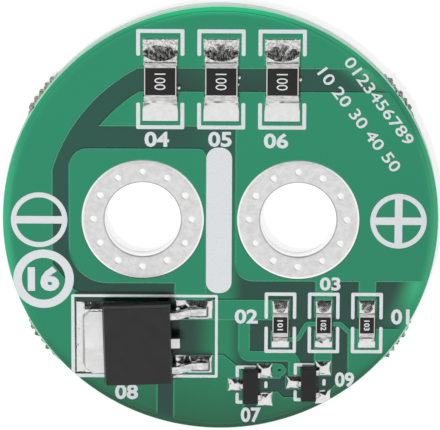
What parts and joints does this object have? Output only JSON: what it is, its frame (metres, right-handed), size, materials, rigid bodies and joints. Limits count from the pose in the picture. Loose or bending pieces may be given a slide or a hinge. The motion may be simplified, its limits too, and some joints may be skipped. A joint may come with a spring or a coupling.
{
  "type": "battery protection board",
  "caption": "Round circuit board for a cell's terminals, with plated screw holes, chip resistors, a tabbed power transistor and small control parts on its upper side.",
  "frame": {"origin": "centre of the board's outline, at the underside of the terminals", "axes": "+Z out of the component side; +X from the minus terminal to the plus terminal; +Y towards the power resistors"},
  "size_m": [0.0356, 0.0356, 0.0039],
  "materials": {
    "laminate": "woven glass and epoxy, routed edge",
    "copper": "rolled copper foil",
    "tinned_copper": "hot-air levelled tin, slightly rippled",
    "solder_mask": "green lacquer, satin gloss",
    "legend_ink": "white screen-printed ink",
    "solder": "bright reflowed solder",
    "ceramic": "white alumina",
    "end_caps": "tin-plated, satin",
    "resistor_glaze": "black glaze",
    "moulding": "black moulding compound, fine matt texture",
    "plated_leads": "matt tin plate"
  },
  "bodies": {
    "root": {"board_laminate": "laminate", "copper_base": "copper", "copper_bottom_minus": "copper", "copper_bottom_plus": "copper", "copper_cathode": "copper", "copper_collector": "copper", "copper_emitter": "copper", "copper_minus": "copper", "copper_plus": "copper", "copper_reference": "copper", "legend_minus_sign": "legend_ink", "legend_outlines": "legend_ink", "legend_plus_sign": "legend_ink", "legend_ring_sign": "legend_ink", "legend_separator_bar": "legend_ink", "link_via": "copper", "q1_base_lead": "plated_leads", "q1_collector_lead": "plated_leads", "q1_emitter_lead": "plated_leads", "q1_moulding": "moulding", "q1_solder": "solder", "q2_base_lead": "plated_leads", "q2_emitter_lead": "plated_leads", "q2_heat_tab": "plated_leads", "q2_moulding": "moulding", "q2_solder": "solder", "r1_ceramic": "ceramic", "r1_end_caps": "end_caps", "r1_overcoat": "resistor_glaze", "r1_solder": "solder", "r2_ceramic": "ceramic", "r2_end_caps": "end_caps", "r2_overcoat": "resistor_glaze", "r2_solder": "solder", "r3_ceramic": "ceramic", "r3_end_caps": "end_caps", "r3_overcoat": "resistor_glaze", "r3_solder": "solder", "r4_ceramic": "ceramic", "r4_end_caps": "end_caps", "r4_overcoat": "resistor_glaze", "r4_solder": "solder", "r5_ceramic": "ceramic", "r5_end_caps": "end_caps", "r5_overcoat": "resistor_glaze", "r5_solder": "solder", "r6_ceramic": "ceramic", "r6_end_caps": "end_caps", "r6_overcoat": "resistor_glaze", "r6_solder": "solder", "solder_mask_bottom": "solder_mask", "solder_mask_top": "solder_mask", "terminal_minus": "tinned_copper", "terminal_plus": "tinned_copper", "u1_anode_lead": "plated_leads", "u1_cathode_lead": "plated_leads", "u1_moulding": "moulding", "u1_reference_lead": "plated_leads", "u1_solder": "solder"}
  },
  "joints": []
}
